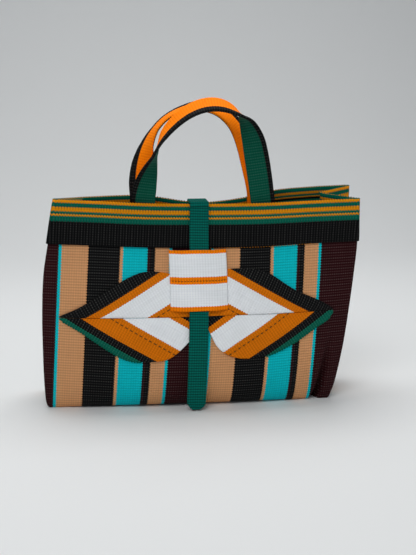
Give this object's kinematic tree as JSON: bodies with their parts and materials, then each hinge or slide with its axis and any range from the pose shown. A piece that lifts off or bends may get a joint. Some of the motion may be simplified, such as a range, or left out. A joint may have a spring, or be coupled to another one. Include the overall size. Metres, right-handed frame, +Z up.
{
  "type": "handwoven tote bag",
  "caption": "Soft handwoven tote bag with a striped rim band, two webbing handles, a closing strap over the mouth and a folded ribbon bow.",
  "frame": {"origin": "middle of the bag's box, on the surface it stands on", "axes": "+Z up, -Y towards the viewer of the bow side, +X to that viewer's right"},
  "size_m": [0.331, 0.101, 0.3178],
  "materials": {
    "body_cloth": "thick weft-faced cloth in maroon, turquoise, beige and black stripes",
    "band_cloth": "thick ribbed cloth in orange, green and black stripes",
    "handle_webbing": "woven webbing, orange outside and green inside with black edges",
    "strap_webbing": "ribbed green webbing",
    "ribbon_cloth": "ribbed ribbon in orange, white, green and black stripes"
  },
  "bodies": {
    "root": {"body": "body_cloth", "rim_band": "band_cloth", "handle_front": "handle_webbing", "handle_back": "handle_webbing", "closure_strap": "strap_webbing", "bow_knot": "ribbon_cloth", "bow_left_upper": "ribbon_cloth", "bow_left_lower": "ribbon_cloth", "bow_right_upper": "ribbon_cloth", "bow_right_lower": "ribbon_cloth"}
  },
  "joints": []
}
